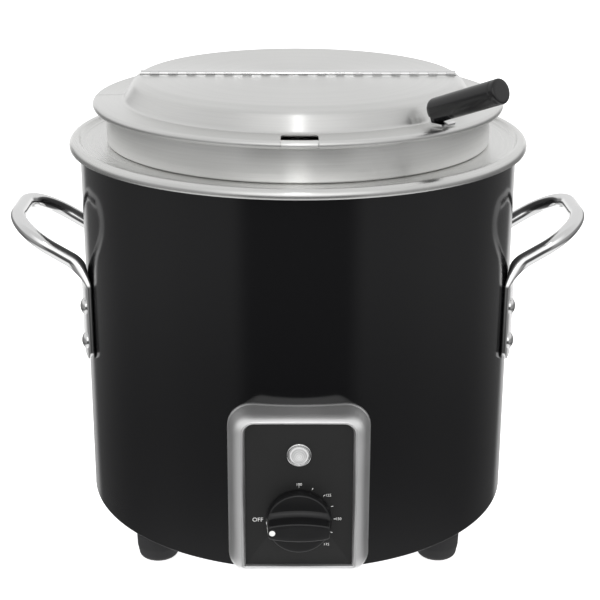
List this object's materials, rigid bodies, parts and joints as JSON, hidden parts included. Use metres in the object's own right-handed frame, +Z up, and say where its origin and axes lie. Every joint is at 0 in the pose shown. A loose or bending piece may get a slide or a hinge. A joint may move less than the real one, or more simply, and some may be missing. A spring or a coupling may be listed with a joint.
{
  "type": "soup kettle",
  "caption": "Round countertop soup kettle: a heated black shell and water well with a lift-out stainless inset, a hinged lid, side handles and a thermostat knob.",
  "frame": {"origin": "where the kettle's upright axis meets the counter, in the plane of the feet's undersides", "axes": "+Z up along the kettle's axis, -Y to the front (control panel), +X towards the right handle"},
  "size_m": [0.4004, 0.3486, 0.34],
  "materials": {
    "black_paint": "gloss black baked paint",
    "stainless_steel": "fine brushed",
    "polished_steel": "bright polished stainless steel",
    "plated_steel": "zinc plated",
    "glass_wool": "yellow mineral wool",
    "element_sheath": "dark oxidised sheath",
    "ceramic_housing": "glazed steatite",
    "dark_phenolic": "moulded phenolic",
    "copper": "bright copper",
    "lead_sleeve": "red silicone sleeve",
    "black_nylon": "moulded nylon",
    "matte_black_plate": "matte black with white print",
    "lamp_lens": "clear moulded lens",
    "foot_rubber": "moulded rubber",
    "knob_plastic": "satin black phenolic",
    "grip_plastic": "gloss black phenolic",
    "white_print": "white inlay"
  },
  "bodies": {
    "kettle": {"outer_shell": "black_paint", "water_well": "stainless_steel", "insulation_wrap": "glass_wool", "base_plate": "plated_steel", "heating_element": "element_sheath", "element_clamp": "plated_steel", "draw_stud": "plated_steel", "clamp_nut": "plated_steel", "base_nut": "plated_steel", "thermostat_body": "ceramic_housing", "thermostat_bulb": "copper", "bulb_clip": "plated_steel", "capillary_tube": "copper", "high_limit_cutout": "dark_phenolic", "terminal_block": "ceramic_housing", "supply_leads": "lead_sleeve", "cord_gland": "black_nylon", "gland_nut": "black_nylon", "control_bezel": "polished_steel", "bezel_nuts": "plated_steel", "control_plate": "matte_black_plate", "thermostat_screws": "plated_steel", "indicator_body": "polished_steel", "indicator_lens": "lamp_lens", "indicator_nut": "plated_steel", "left_handle": "polished_steel", "right_handle": "polished_steel", "left_handle_screws": "polished_steel", "right_handle_screws": "polished_steel", "handle_nuts": "plated_steel", "foot_front_left": "foot_rubber", "foot_front_right": "foot_rubber", "foot_rear_left": "foot_rubber", "foot_rear_right": "foot_rubber", "foot_screws": "plated_steel", "foot_nuts": "plated_steel", "base_screws": "plated_steel"},
    "knob": {"control_knob": "knob_plastic", "knob_pointer": "white_print", "thermostat_shaft": "plated_steel"},
    "inset": {"inset_pan": "stainless_steel"},
    "lid": {"lid_rear": "stainless_steel", "rear_hinge_leaf": "polished_steel", "hinge_pin": "polished_steel"},
    "lid_flap": {"lid_front": "stainless_steel", "front_hinge_leaf": "polished_steel", "lid_grip": "grip_plastic", "grip_bracket": "polished_steel", "grip_screw": "polished_steel", "bracket_rivets": "polished_steel"}
  },
  "joints": [
    {"name": "knob_turn", "type": "hinge", "parent": "kettle", "child": "knob", "pos_m": [0, -0.165, 0.065], "axis": [0, 1, 0], "range_deg": [0, 225]},
    {"name": "inset_lift", "type": "slide", "parent": "kettle", "child": "inset", "axis": [0, 0, 1], "range_m": [0, 0.3]},
    {"name": "lid_lift", "type": "slide", "parent": "inset", "child": "lid", "axis": [0, 0, 1], "range_m": [0, 0.15]},
    {"name": "lid_hinge", "type": "hinge", "parent": "lid", "child": "lid_flap", "pos_m": [0, 0, 0.3194], "axis": [-1, 0, 0], "range_deg": [0, 175]}
  ]
}
